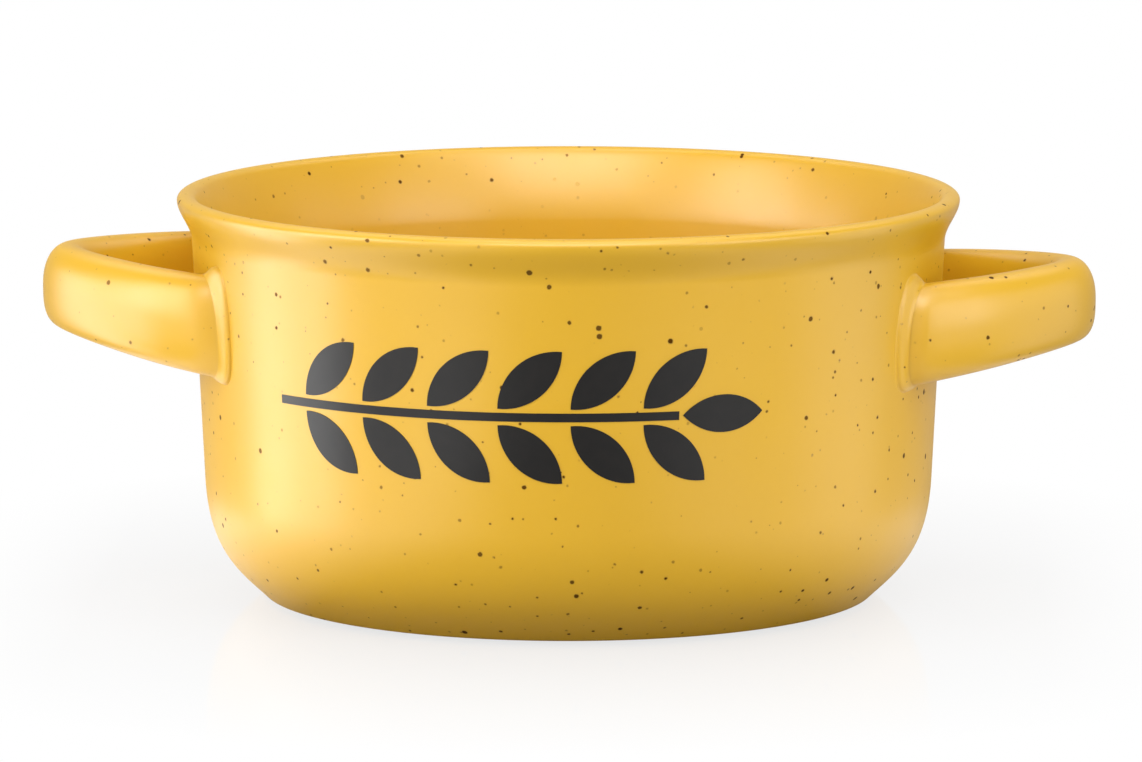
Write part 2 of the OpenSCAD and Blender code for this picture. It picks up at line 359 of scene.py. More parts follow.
def station_mesh(name: str, stations: Sequence[Mapping[str, float]]) -> bpy.types.Mesh:
    """Make a seed mesh with one point for each station.

    Args:
        name: the name of the mesh.
        stations: the named values of each station, in order.

    Returns:
        The mesh, with a point attribute for each name.
    """
    mesh = bpy.data.meshes.new(name)
    mesh.from_pydata([(0, 0, 0)] * len(stations), [], [])
    for key in stations[0]:
        values = mesh.attributes.new(key, "FLOAT", "POINT")
        values.data.foreach_set("value", [station[key] for station in stations])
    return mesh


def profile_mesh(name: str, points: Sequence[Vector]) -> bpy.types.Mesh:
    """Make a seed mesh with one point for each point of a profile.

    Args:
        name: the name of the mesh.
        points: the profile, as radius and height.

    Returns:
        The mesh, with the radius along X and the height along Z.
    """
    mesh = bpy.data.meshes.new(name)
    mesh.from_pydata([(point.x, 0, point.y) for point in points], [], [])
    return mesh


def cubic(a: Vector, b: Vector, c: Vector, d: Vector, steps: int) -> list[Vector]:
    """Lay points on a cubic curve.

    Args:
        a: where it starts.
        b: what its start is pulled towards.
        c: what its end is pulled towards.
        d: where it ends.
        steps: steps on the curve.

    Returns:
        The points, both ends among them.
    """
    shares = [i / steps for i in range(steps + 1)]
    return [(1 - t) ** 3 * a + 3 * (1 - t) ** 2 * t * b + 3 * (1 - t) * t * t * c + t ** 3 * d
            for t in shares]


def round_arc(middle: Vector, wide: float, high: float, start: float, end: float,
              steps: int) -> list[Vector]:
    """Lay points on part of an ellipse.

    Args:
        middle: the middle of the ellipse.
        wide: half its width.
        high: half its height.
        start: the angle where the part starts, in degrees.
        end: the angle where it ends.
        steps: steps on the part.

    Returns:
        The points, both ends among them.
    """
    turns = [math.radians(start + (end - start) * i / steps) for i in range(steps + 1)]
    return [middle + Vector((wide * math.cos(turn), high * math.sin(turn))) for turn in turns]


def softened(points: Sequence[Vector], radius: float, steps: int = 4) -> list[Vector]:
    """Round the corners of a line of points.

    Args:
        points: the line.
        radius: how far from a corner its curve starts.
        steps: steps on each curve.

    Returns:
        The line with a small curve in place of each inner corner.
    """
    line = [points[0]]
    for before, corner, after in zip(points, points[1:], points[2:]):
        start = corner + (before - corner).normalized() * radius
        end = corner + (after - corner).normalized() * radius
        for i in range(steps + 1):
            t = i / steps
            line.append((1 - t) ** 2 * start + 2 * (1 - t) * t * corner + t * t * end)
    return line + [points[-1]]


def register(piece: bpy.types.Object, node: str, slot: str) -> None:
    """Set a piece on the mug's one body in place of a CAD node, and report it.

    Args:
        piece: the piece.
        node: the CAD node that it stands for.
        slot: the material slot that its finish belongs to.
    """
    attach(piece, BODY)
    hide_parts(node)
    LOG.info("%s: %d faces in place of %s, finish %s", piece.name, len(piece.data.polygons), node, slot)


@dataclass(frozen=True)
class Cloud:
    """Soft noise: its grain in millimetres, its finer layers, and the gain and shift of its level."""

    MIDDLE = 0.5

    grain: float
    detail: float = 2.0
    gain: float = 1.0
    shift: float = 0.0

    def noise(self, g: Graph, place: Term) -> Term:
        """The bare noise at a place in metres, near MIDDLE on average, with a colour as its other output."""
        return g.node("ShaderNodeTexNoise", inputs={
            "Vector": place, "Scale": 1 / (self.grain * MM), "Detail": self.detail}, out="Fac")

    def level(self, g: Graph, place: Term) -> Term:
        """The noise at a place in metres, with its gain and shift."""
        return self.noise(g, place) * self.gain + self.shift


@dataclass(frozen=True)
class SpeckLayer:
    """One layer of dark specks.

    The size of a cell, which holds one speck at most, the smallest and largest radius and the soft edge are
    in millimetres. The palest speck has the depth faint, a cell whose draw is under empty has none, and
    crowding says how far a crowd fills such cells.
    """

    cell: float
    small: float
    large: float
    soft: float
    faint: float
    empty: float
    crowding: float = 0.6

    def spots(self, g: Graph, place: Term, crowd: Term) -> tuple[Term, Term]:
        """Add the nodes of the layer.

        Args:
            g: the graph of the material.
            place: the coordinates, in metres.
            crowd: where specks crowd together, 0 to 1.

        Returns:
            The dark middle of the specks and the stain that reaches past it, each 0 to 1.
        """
        away = g.node("ShaderNodeTexVoronoi", {"feature": "F1"}, {
            "Vector": place, "Scale": 1 / (self.cell * MM)}, out="Distance")
        draw = g.node("ShaderNodeSeparateColor", inputs={"Color": away.out("Color")}, out="Red")
        present = g.math("GREATER_THAN", draw.out("Blue") + self.crowding * crowd, self.empty)
        depth = (self.faint + (1 - self.faint) * draw.out("Green")) * present
        reach = (self.small + (self.large - self.small) * draw * draw - away * self.cell) / self.soft
        return g.clamped(reach) * depth, g.clamped(reach + 1) * depth


@dataclass(frozen=True)
class Finish:
    """What the finishes share: a name, and the strength of the bumps on the surface."""

    name: str
    relief: float = 0.5

    def looks(self, g: Graph, place: Term) -> dict[str, Feed]:
        """Work out the finish.

        Args:
            g: the graph of the material.
            place: the coordinates, in metres.

        Returns:
            A value or a term for each socket of the shader.
        """
        raise NotImplementedError

    def bumps(self, g: Graph, height: Term) -> Term:
        """The normal of a surface with bumps of a height in millimetres."""
        return g.node("ShaderNodeBump", inputs={"Strength": self.relief, "Distance": MM, "Height": height})

    def material(self) -> bpy.types.Material:
        """Build the material.

        Returns:
            The finished material.
        """
        made = bpy.data.materials.new(self.name)
        made.use_nodes = True
        g = Graph(made.node_tree)
        shader = made.node_tree.nodes["Principled BSDF"]
        for socket, value in self.looks(g, g.node("ShaderNodeTexCoord", out="Object")).items():
            g.feed(shader.inputs[socket], value)
        return made


@dataclass(frozen=True)
class GlazeFinish(Finish):
    """Satin yellow glaze: deep where it lies thick, paler where it is thin, with iron specks.

    The specks fade inside a bowl of the inner radius given, above its floor, both in millimetres.
    """

    inner_r: float = 0.0
    inner_z: float = 22.0
    inner_fade: float = 0.75
    thick: Colour = (0.64, 0.358, 0.008, 1.0)
    thin: Colour = (0.665, 0.38, 0.014, 1.0)
    stain: Colour = (0.22, 0.1, 0.006, 1.0)
    iron: Colour = (0.08, 0.03, 0.002, 1.0)
    roughness: float = 0.35
    ior: float = 1.58
    large: SpeckLayer = SpeckLayer(cell=4.0, small=0.24, large=0.56, soft=0.09, faint=0.8, empty=0.3)
    fine: SpeckLayer = SpeckLayer(cell=2.3, small=0.11, large=0.36, soft=0.09, faint=0.3, empty=0.25)
    large_stain: float = 0.55
    fine_stain: float = 0.4
    fine_iron: float = 0.8
    speck_roughness: float = 0.3
    speck_pit: float = 0.02
    ragged: Cloud = Cloud(grain=0.5)
    ragged_reach: float = 0.25
    crowd: Cloud = Cloud(grain=20, detail=1, gain=2.4, shift=-0.7)
    broad_mottle: Cloud = Cloud(grain=14, detail=3, gain=0.8, shift=-0.1)
    close_mottle: Cloud = Cloud(grain=1.4, gain=0.4)
    satin: Cloud = Cloud(grain=5, detail=3, gain=0.08, shift=-0.04)
    pores: Cloud = Cloud(grain=1.1, gain=0.01)
    waves: Cloud = Cloud(grain=10, detail=1, gain=0.05)

    def inside(self, g: Graph, place: Term) -> Term:
        """Find what lies inside the bowl.

        Args:
            g: the graph of the material.
            place: the coordinates, in metres.

        Returns:
            1 inside the bowl and 0 elsewhere.
        """
        x, y, z = g.parts(place)
        near = g.math("LESS_THAN", g.math("SQRT", x * x + y * y), self.inner_r * MM)
        return near * g.math("GREATER_THAN", z, self.inner_z * MM)

    def looks(self, g: Graph, place: Term) -> dict[str, Feed]:
        """Work out the mottled yellow, the specks with their stains, and the soft waves.

        Args:
            g: the graph of the material.
            place: the coordinates, in metres.

        Returns:
            A value or a term for each socket of the shader.
        """
        ragged = g.vector("MULTIPLY_ADD", self.ragged.noise(g, place).out("Color"),
                          (self.ragged_reach * MM,) * 3, place)
        crowd = g.clamped(self.crowd.level(g, place))
        dark_large, halo_large = self.large.spots(g, ragged, crowd)
        dark_fine, halo_fine = self.fine.spots(g, ragged, crowd)
        mottle = g.clamped(self.broad_mottle.level(g, place) + self.close_mottle.level(g, place))
        yellow = g.tint(mottle, self.thick, self.thin)
        shown = 1 - self.inner_fade * self.inside(g, place)
        halo = g.clamped(halo_large * self.large_stain + halo_fine * self.fine_stain) * shown
        speck = g.clamped(dark_large + dark_fine * self.fine_iron) * shown
        height = self.pores.level(g, place) + self.waves.level(g, place) - dark_large * self.speck_pit
        return {
            "IOR": self.ior,
            "Base Color": g.tint(speck, g.tint(halo, yellow, self.stain), self.iron),
            "Metallic": speck,
            "Roughness": self.roughness + self.satin.level(g, place) + self.speck_roughness * speck,
            "Normal": self.bumps(g, height)}


@dataclass(frozen=True)
class ClayFinish(Finish):
    """Bare fired stoneware: matte buff with sand, darker grains and a dry surface."""

    relief: float = 0.8
    pale: Colour = (0.72, 0.62, 0.47, 1.0)
    warm: Colour = (0.55, 0.42, 0.28, 1.0)
    grain: Colour = (0.16, 0.10, 0.06, 1.0)
    roughness: float = 0.82
    grains: SpeckLayer = SpeckLayer(cell=1.7, small=0.08, large=0.24, soft=0.08, faint=0.3, empty=0.3)
    grain_dark: float = 0.8
    grain_stain: float = 0.1
    sand: Cloud = Cloud(grain=0.5, detail=3)
    sand_warm: float = 0.5
    sand_roughness: float = 0.12
    sand_height: float = 0.12
    toast: Cloud = Cloud(grain=18, detail=3, gain=1.4, shift=-0.35)
    toast_warm: float = 0.6
    lumps: Cloud = Cloud(grain=2.5, gain=0.1)

    def looks(self, g: Graph, place: Term) -> dict[str, Feed]:
        """Work out the toasted buff, the dark grains and the sandy surface.

        Args:
            g: the graph of the material.
            place: the coordinates, in metres.

        Returns:
            A value or a term for each socket of the shader.
        """
        sand = self.sand.noise(g, place)
        uneven = sand - Cloud.MIDDLE
        toasted = g.clamped(self.toast.level(g, place))
        dark, halo = self.grains.spots(g, place, sand)
        buff = g.tint(g.clamped(toasted * self.toast_warm + uneven * self.sand_warm), self.pale, self.warm)
        speck = g.clamped(dark * self.grain_dark + halo * self.grain_stain)
        return {
            "Base Color": g.tint(speck, buff, self.grain),
            "Roughness": self.roughness + self.sand_roughness * uneven,
            "Normal": self.bumps(g, sand * self.sand_height + self.lumps.level(g, place))}


@dataclass(frozen=True)
class PrintFinish(Finish):
    """Black ceramic transfer fired into the glaze, with a faint uneven lay."""

    ink: Colour = (0.003677, 0.003035, 0.002732, 1.0)
    worn: Colour = (0.01033, 0.008023, 0.006512, 1.0)
    roughness: float = 0.36
    ior: float = 1.4
    lay: Cloud = Cloud(grain=2.2, detail=4, gain=1.8, shift=-0.55)
    wear: float = 0.5
    satin: Cloud = Cloud(grain=0.6, gain=0.1, shift=-0.05)
    pores: Cloud = Cloud(grain=1.1, gain=0.012)
    waves: Cloud = Cloud(grain=9, detail=1, gain=0.06)

    def looks(self, g: Graph, place: Term) -> dict[str, Feed]:
        """Work out the uneven black and the waves of the glaze under it.

        Args:
            g: the graph of the material.
            place: the coordinates, in metres.

        Returns:
            A value or a term for each socket of the shader.
        """
        lay = g.clamped(self.lay.level(g, place))
        return {
            "IOR": self.ior,
            "Base Color": g.tint(lay * self.wear, self.ink, self.worn),
            "Roughness": self.roughness + self.satin.level(g, place),
            "Normal": self.bumps(g, self.pores.level(g, place) + self.waves.level(g, place))}


class LatheTree(ShapeTree):
    """A profile turned round the upright axis."""

    def __init__(self) -> None:
        """Build the tree."""
        super().__init__("turned_bowl")
        g = self.graph
        mesh, station, turn = self.sheet(self.input("Around", SocketKind.COUNT))
        point = g.node("GeometryNodeSampleIndex", {"data_type": "FLOAT_VECTOR", "domain": "POINT"}, {
            "Geometry": self.seed, "Value": g.node("GeometryNodeInputPosition"), "Index": station})
        radius, _, height = g.parts(point)
        self.close(self.placed(mesh, radius * g.math("COSINE", turn), radius * g.math("SINE", turn), height))


@dataclass(frozen=True)
class Bowl:
    """The bowl: a fired body with a flared lip and a foot ring, and the glaze coat over it."""

    lip_r: float
    rim_h: float
    wall_t: float = 4.6
    floor_t: float = 4.4
    wall_lean: float = math.radians(2.8)
    corner_h: float = 21.2
    corner_w: float = 10.4
    base_rise: float = 0.3
    base_slope: float = math.radians(44)
    base_pull: float = 6.4
    wall_pull: float = 13.0
    in_rise: float = 3.0
    in_corner_w: float = 20.0
    in_wall_pull: float = 9.0
    floor_pull: float = 11.0
    flare_out: float = 2.65
    flare_h: float = 7.2
    lip_drop: float = 1.2
    lip_out_w: float = 1.8
    lip_in_r: float = 1.8
    lip_in_slope: float = math.radians(58)
    flare_pull: float = 2.8
    lip_pull: float = 2.1
    throat_h: float = 5.0
    throat_pull: float = 1.8
    throat_wall_pull: float = 3.4
    foot_in: float = 4.3
    foot_bevel: float = 0.4
    foot_w: float = 5.0
    foot_h: float = 0.4
    foot_hollow: float = 1.8
    glaze_t: float = 0.4
    glaze_gap: float = 1.1
    glaze_roll: float = 1.6
    long_steps: int = 26
    short_steps: int = 12
    edge_steps: int = 8
    around: int = 288

    @classmethod
    def from_frame(cls) -> "Bowl":
        """Take the size over the lip and the height from the CAD coat."""
        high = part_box("glaze_coat")[1]
        return cls(lip_r=high[0] / MM, rim_h=high[2] / MM)

    @property
    def lip_z(self) -> float:
        """Height of the widest line of the lip."""
        return self.rim_h - self.lip_drop

    @property
    def wall_run(self) -> Vector:
        """Direction up the wall in the profile."""
        return Vector((math.sin(self.wall_lean), math.cos(self.wall_lean)))

    @property
    def wall_top(self) -> Vector:
        """Where the wall ends and the flare starts."""
        return Vector((self.lip_r - self.flare_out, self.lip_z - self.flare_h))

    @property
    def wall_low(self) -> Vector:
        """Where the bottom corner ends and the wall starts."""
        top = self.wall_top
        return Vector((top.x - (top.y - self.corner_h) * math.tan(self.wall_lean), self.corner_h))

    @property
    def base_start(self) -> Vector:
        """Where the bottom corner starts."""
        return Vector((self.wall_low.x - self.corner_w, self.foot_h + self.base_rise))

    @property
    def foot_r(self) -> float:
        """Radius of the foot ring."""
        return self.base_start.x - self.foot_in

    def wall_r(self, height: float) -> float:
        """Radius of the glazed wall at a height on its straight part."""
        return self.wall_low.x + (height - self.wall_low.y) * math.tan(self.wall_lean)

    def skin(self) -> list[Vector]:
        """Work out the profile of the glazed surface.

        Returns:
            The points from the edge of the glaze at the foot, over the lip, to the middle of the floor.
        """
        n, m = self.long_steps, self.short_steps
        base_run = Vector((math.cos(self.base_slope), math.sin(self.base_slope)))
        edge = Vector((self.foot_r + self.glaze_gap, self.foot_h))
        crest_r = self.lip_r - self.lip_out_w
        in_run = Vector((-math.cos(self.lip_in_slope), -math.sin(self.lip_in_slope)))
        in_middle = Vector((crest_r, self.rim_h - self.lip_in_r))
        in_edge = in_middle + self.lip_in_r * Vector((in_run.y, -in_run.x))
        slope = math.tan(self.wall_lean)
        in_top = self.wall_top - Vector((self.wall_t + slope * self.throat_h, self.throat_h))
        in_low_z = self.corner_h + self.in_rise
        in_low = Vector((in_top.x - (in_top.y - in_low_z) * slope, in_low_z))
        floor = Vector((in_low.x - self.in_corner_w, self.foot_hollow + self.floor_t))
        lip = Vector((self.lip_r, self.lip_z))
        base_roll = cubic(edge, edge + Vector((self.glaze_roll, 0)),
                          self.base_start - self.base_rise * base_run, self.base_start, m)
        corner = cubic(self.base_start, self.base_start + self.base_pull * base_run,
                       self.wall_low - self.wall_pull * self.wall_run, self.wall_low, n)
        flare = cubic(self.wall_top, self.wall_top + self.flare_pull * self.wall_run,
                      lip - Vector((0, self.lip_pull)), lip, n)
        lip_outside = round_arc(Vector((crest_r, self.lip_z)), self.lip_out_w, self.lip_drop, 0, 90, m)
        lip_inside = round_arc(in_middle, self.lip_in_r, self.lip_in_r, 90,
                               90 + math.degrees(self.lip_in_slope), m)
        throat = cubic(in_edge, in_edge + self.throat_pull * in_run,
                       in_top + self.throat_wall_pull * self.wall_run, in_top, n)
        in_corner = cubic(in_low, in_low - self.in_wall_pull * self.wall_run,
                          floor + Vector((self.floor_pull, 0)), floor, n)
        return (base_roll + corner[1:] + flare + lip_outside[1:] + lip_inside[1:] + throat[1:] + in_corner
                + [Vector((0, floor.y))])

    def clay(self, skin: Sequence[Vector]) -> list[Vector]:
        """Move the glazed profile in by the thickness of the glaze.

        Args:
            skin: the profile of the glazed surface.

        Returns:
            The profile of the clay under it.
        """
        line = [skin[0] + Vector((0, self.glaze_t))]
        for before, point, after in zip(skin, skin[1:], skin[2:]):
            run = (after - before).normalized()
            line.append(point + self.glaze_t * Vector((-run.y, run.x)))
        return line + [skin[-1] - Vector((0, self.glaze_t))]

    def build(self, glaze: bpy.types.Material, clay: bpy.types.Material) -> None:
        """Build the coat and the body.

        Args:
            glaze: the finish of the coat.
            clay: the finish of the bare body.
        """
        tree = LatheTree()
        sizes = {"Around": self.around}
        skin = self.skin()
        under_skin = self.clay(skin)
        edge = round_arc((skin[0] + under_skin[0]) / 2, self.glaze_t / 2, self.glaze_t / 2, 90, 270,
                         self.edge_steps)
        coat_line = skin + under_skin[::-1] + edge[1:]
        coat = tree.run("speckled_coat", profile_mesh("coat_line", coat_line), glaze, sizes)
        register(coat, "glaze_coat", "speckled_glaze")
        foot = softened([
            Vector((0, self.foot_hollow)),
            Vector((self.foot_r - self.foot_w - self.foot_hollow, self.foot_hollow)),
            Vector((self.foot_r - self.foot_w, 0)),
            Vector((self.foot_r, 0)),
            Vector((self.foot_r, under_skin[0].y)),
            under_skin[0]], self.foot_bevel / 2)
        body = tree.run("fired_body", profile_mesh("body_line", foot + under_skin[1:]), clay, sizes)
        register(body, "bowl_body", "bare_clay")


class Hand(Enum):
    """The side of the mug that a handle is on, along X."""

    LEFT = -1
    RIGHT = 1


class Leg(Enum):
    """The leg of a handle, along Y."""

    FRONT = -1
    REAR = 1


@dataclass(frozen=True)
class HandleRule:
    """The numbers that rule a strap and its collars. Each is a named input of their trees."""

    hand: float
    lift: float
    tilt: float
    tip_x: float
    leg_x: float
    root_x: float
    root_top: float
    tip_rise: float
    half_h_root: float
    half_h_tip: float
    half_spread_root: float
    half_spread_tip: float
    half_t: float
    bow_power: float
    upper_power: float
    lower_power: float
    collar_w: float
    collar_h: float
    collar_low: float
    clay_r: float
    wall_slope: float
    around: int


class HandleTree(ShapeTree):
    """What the trees of the strap and of its collars share: the section, its place and the wall."""

    WALL_ROUNDS = 3

    def __init__(self, name: str) -> None:
        """Start a tree with an input for each number of the rule.

        Args:
            name: the name of the tree.
        """
        super().__init__(name)
        self.rule = SimpleNamespace(**{
            size.name: self.input(size.name, SocketKind.COUNT if size.name == "around" else SocketKind.SIZE)
            for size in fields(HandleRule)})

    def rounded(self, value: Term, power: Term) -> Term:
        """A power that keeps its sign, which rounds a circle towards a square."""
        return self.graph.math("SIGN", value) * self.graph.math("ABSOLUTE", value) ** power

    def section(self, turn: Term) -> tuple[Term, Term]:
        """A point of the strap's section of half size 1, which is rounder above than below.

        Args:
            turn: the turn round the section.

        Returns:
            The reach out of the bow and the height.
        """
        r, g = self.rule, self.graph
        rise = g.math("SINE", turn)
        power = r.lower_power + (r.upper_power - r.lower_power) * g.math("GREATER_THAN", rise, 0.0)
        return self.rounded(g.math("COSINE", turn), power), self.rounded(rise, power)

    def share(self, x: Term) -> Term:
        """Share of the way from the tip of the handle to the wall."""
        return (self.rule.tip_x - x) / (self.rule.tip_x - self.rule.root_x)

    def half_spread(self, share: Scalar) -> Term:
        """Half the distance between the legs."""
        return self.rule.half_spread_tip + (self.rule.half_spread_root - self.rule.half_spread_tip) * share

    def height(self, turn: Term, shrink: Scalar, collar: Scalar, share: Scalar, y: Term) -> Term:
        """Height of a point of the section.

        Args:
            turn: the turn round the section.
            shrink: size of the section as a share of the strap's.
            collar: share of the collar's spread round it.
            share: share of the way from the tip to the wall.
            y: where the point is along Y, for the tilt of the handle.

        Returns:
            The height in millimetres.
        """
        r = self.rule
        half = r.half_h_tip + (r.half_h_root - r.half_h_tip) * share
        top = r.root_top + r.tip_rise * (1 - share)
        rise = self.section(turn)[1]
        spread = r.collar_low + (r.collar_h - r.collar_low) * self.graph.math("GREATER_THAN", rise, 0.0)
        return top - half + shrink * (half + collar * spread) * rise + r.lift + r.tilt * y

    def near_wall(self, side: Term, turn: Term, shrink: Scalar, collar: Scalar, rise: Scalar,
                  along: Scalar, pinch: Scalar) -> tuple[Term, Term, Term]:
        """A point of a leg close to the wall.

        Args:
            side: -1 on the front leg and 1 on the rear one.
            turn: the turn round the section.
            shrink: size of the section as a share of the strap's.
            collar: share of the collar's spread round it.
            rise: distance out from the clay.
            along: 0 keeps the outline upright on the wall, 1 follows the run of the strap.
            pinch: how far the sides of the strap are pinched in.

        Returns:
            The place of the point on the right handle.
        """
        r, g = self.rule, self.graph
        reach = shrink * (r.half_t - pinch + collar * r.collar_w) * self.section(turn)[0]
        share: Scalar = 1.0
        for _ in range(self.WALL_ROUNDS):
            y = side * (self.half_spread(share) + reach)
            z = self.height(turn, shrink, collar, share, y)
            clay = r.clay_r + z * r.wall_slope
            x = g.math("SQRT", clay * clay - y * y) + rise
            share = 1 + (self.share(x) - 1) * along
        return x, y, z


class StrapTree(HandleTree):
    """A strap that runs from the wall round its bow and back to the wall."""

    NUDGE = math.radians(0.5)

    def __init__(self) -> None:
        """Build the tree."""
        super().__init__("strap_handle")
        r, g = self.rule, self.graph
        slip_t = self.input("slip_t")
        mesh, station, turn = self.sheet(r.around)
        bow, leg, shrink, pinch = (
            self.sampled(name, station) for name in ("bow", "leg", "shrink", "pinch"))
        mid_x, mid_y = self.middle(bow)
        next_x, next_y = self.middle(bow + self.NUDGE)
        last_x, last_y = self.middle(bow - self.NUDGE)
        run_x, run_y = next_x - last_x, next_y - last_y
        length = g.math("SQRT", run_x * run_x + run_y * run_y)
        out = (r.half_t - pinch) * self.section(turn)[0] / length
        bow_x, bow_y = mid_x + out * run_y, mid_y - out * run_x
        bow_z = self.height(turn, 1.0, 0.0, self.share(mid_x), bow_y)
        end_x, end_y, end_z = self.near_wall(g.math("SINE", bow), turn, shrink, 0.0, slip_t, 1.0, pinch)
        x, y, z = (b + (e - b) * leg for b, e in ((bow_x, end_x), (bow_y, end_y), (bow_z, end_z)))
        self.close(self.placed(mesh, x * r.hand, y, z))

    def middle(self, bow: Term) -> tuple[Term, Term]:
        """Work out the middle line of the bow.

        Args:
            bow: the angle round the bow, from the front leg to the rear one.

        Returns:
            The place of the line there along X and along Y.
        """
        r, g = self.rule, self.graph
        x = r.leg_x + (r.tip_x - r.leg_x) * self.rounded(g.math("COSINE", bow), r.bow_power)
        return x, self.half_spread(self.share(x)) * self.rounded(g.math("SINE", bow), r.bow_power)


class CollarTree(HandleTree):
    """The collar of slip that is squeezed out round the end of a strap."""

    def __init__(self) -> None:
        """Build the tree."""
        super().__init__("slip_collar")
        side = self.input("side")
        mesh, station, turn = self.sheet(self.rule.around)
        shrink, collar, rise, along, pinch = (
            self.sampled(name, station) for name in ("shrink", "collar", "rise", "along", "pinch"))
        x, y, z = self.near_wall(side, turn, shrink, collar, rise, along, pinch)
        self.close(self.placed(mesh, x * self.rule.hand, y, z))


@dataclass(frozen=True)
class Handle:
    """A strap handle and the two slip joints that hold it to the wall.

    The sides of the strap are pinched in between two distances from the wall. Each collar has a crease where
    it leaves the glaze of the bowl, and a ridge that climbs from there, over a shelf, to a thin edge on the
    strap.
    """

    END_RINGS = (2 / 3, 1 / 3, 0.0)
    PAD_RINGS = (0.0, 1 / 2, 1.0)

    bowl: Bowl
    hand: Hand
    lift: float
    tilt: float
    out: float = 24.4
    spread_root: float = 53.6
    spread_tip: float = 26.4
    leg_l: float = 8.0
    strap_t: float = 9.4
    strap_h_root: float = 18.0
    strap_h_tip: float = 14.8
    tip_rise: float = 1.9
    root_gap: float = 2.1
    bow_n: float = 2.05
    upper_n: float = 2.2
    lower_n: float = 3.0
    pinch: float = 1.6
    pinch_from: float = 0.3
    pinch_to: float = 4.0
    slip_t: float = 0.5
    collar_w: float = 0.4
    collar_h: float = 2.0
    collar_low: float = 0.9
    ridge_pull: float = 0.9
    ridge_slope: float = math.radians(55)
    crease: float = 0.35
    shelf_in: float = 0.25
    shelf_h: float = 0.85
    collar_l: float = 2.2
    feather: float = 0.012
    bow_steps: int = 72
    leg_steps: int = 6
    curve_steps: int = 10
    around: int = 72

    def rule(self) -> HandleRule:
        """Work out the rule of this handle from its sizes and the bowl's wall.

        Returns:
            The numbers that the trees take.
        """
        bowl = self.bowl
        slope = math.tan(bowl.wall_lean)
        clay_r = bowl.wall_r(0) - bowl.glaze_t / math.cos(bowl.wall_lean)
        root_top = bowl.wall_top.y - self.root_gap - self.collar_h
        middle_r = clay_r + (root_top - self.strap_h_root / 2) * slope
        root_x = math.sqrt(middle_r ** 2 - (self.spread_root / 2) ** 2)
        return HandleRule(
            hand=float(self.hand.value), lift=self.lift, tilt=math.tan(self.tilt),
            tip_x=bowl.lip_r + self.out - self.strap_t / 2, leg_x=root_x + self.leg_l, root_x=root_x,
            root_top=root_top, tip_rise=self.tip_rise,
            half_h_root=self.strap_h_root / 2, half_h_tip=self.strap_h_tip / 2,
            half_spread_root=self.spread_root / 2, half_spread_tip=self.spread_tip / 2,
            half_t=self.strap_t / 2, bow_power=2 / self.bow_n,
            upper_power=2 / self.upper_n, lower_power=2 / self.lower_n,
            collar_w=self.collar_wide, collar_h=self.collar_h, collar_low=self.collar_low,
            clay_r=clay_r, wall_slope=slope, around=self.around)

    @property
    def collar_wide(self) -> float:
        """Width of a collar at the wall, from the pinched side of the strap."""
        return self.collar_w + self.pinch

    def pinched(self, away: float) -> float:
        """How far the sides of the strap are pinched in at a distance from the wall."""
        t = min(max((self.pinch_to - away) / (self.pinch_to - self.pinch_from), 0.0), 1.0)
        return self.pinch * t * t * (3 - 2 * t)

    def strap_station(self, bow: float, leg: float, away: float, shrink: float = 1.0) -> dict[str, float]:
        """A station at an angle of the bow, a share of the leg and a distance from the wall."""
        return {"bow": bow, "leg": leg, "shrink": shrink, "pinch": self.pinched(away)}

    def strap_stations(self) -> list[dict[str, float]]:
        """Work out the stations along the strap.

        Returns:
            The named values of the closed end, a leg, the bow, a leg and the closed end.
        """
        quarter = math.pi / 2
        rule = self.rule()
        legs = [i / self.leg_steps for i in range(1, self.leg_steps + 1)]
        rear = [self.strap_station(quarter, leg, (1 - leg) * self.leg_l) for leg in legs]
        rear += [self.strap_station(quarter, 1.0, 0.0, shrink) for shrink in self.END_RINGS]
        front = [dict(station, bow=-quarter) for station in reversed(rear)]
        bow = []
        for i in range(self.bow_steps + 1):
            turn = math.pi * i / self.bow_steps - quarter
            out = (rule.tip_x - rule.leg_x) * max(math.cos(turn), 0.0) ** rule.bow_power
            bow.append(self.strap_station(turn, 0.0, self.leg_l + out))
        return front + bow + rear

    def collar_stations(self) -> list[dict[str, float]]:
        """Work out the stations over a collar.

        Returns:
            The named values of the pad on the clay, the crease, the ridge that runs into the strap, and the
            closed end.
        """
        n, wide, base = self.curve_steps, self.collar_wide, self.bowl.glaze_t
        climb = Vector((-math.cos(self.ridge_slope), math.sin(self.ridge_slope)))
        corner = Vector((wide, base))
        start, foot = corner + Vector((self.crease, 0)), corner + self.crease * climb
        shelf = Vector((self.feather + self.shelf_in, base + self.shelf_h))
        end = Vector((self.feather, self.collar_l))
        crease = cubic(start, (2 * corner + start) / 3, (2 * corner + foot) / 3, foot, n)
        ridge = cubic(foot, foot + self.ridge_pull * climb, shelf, end, 2 * n)
        line = [(start.x, 0.0, 0.0)] + [(point.x, point.y, 0.0) for point in crease]
        line += [(point.x, point.y, i / (2 * n)) for i, point in enumerate(ridge) if i]
        pad = [(shrink, 0.0, 0.0, 0.0) for shrink in self.PAD_RINGS]
        close = [(shrink, 0.0, self.slip_t, 1.0) for shrink in reversed(self.PAD_RINGS)]
        skirt = [(1.0, e / wide, rise, along) for e, rise, along in line]
        return [{"shrink": shrink, "collar": share, "rise": rise, "along": along, "pinch": self.pinched(rise)}
                for shrink, share, rise, along in pad + skirt + close]

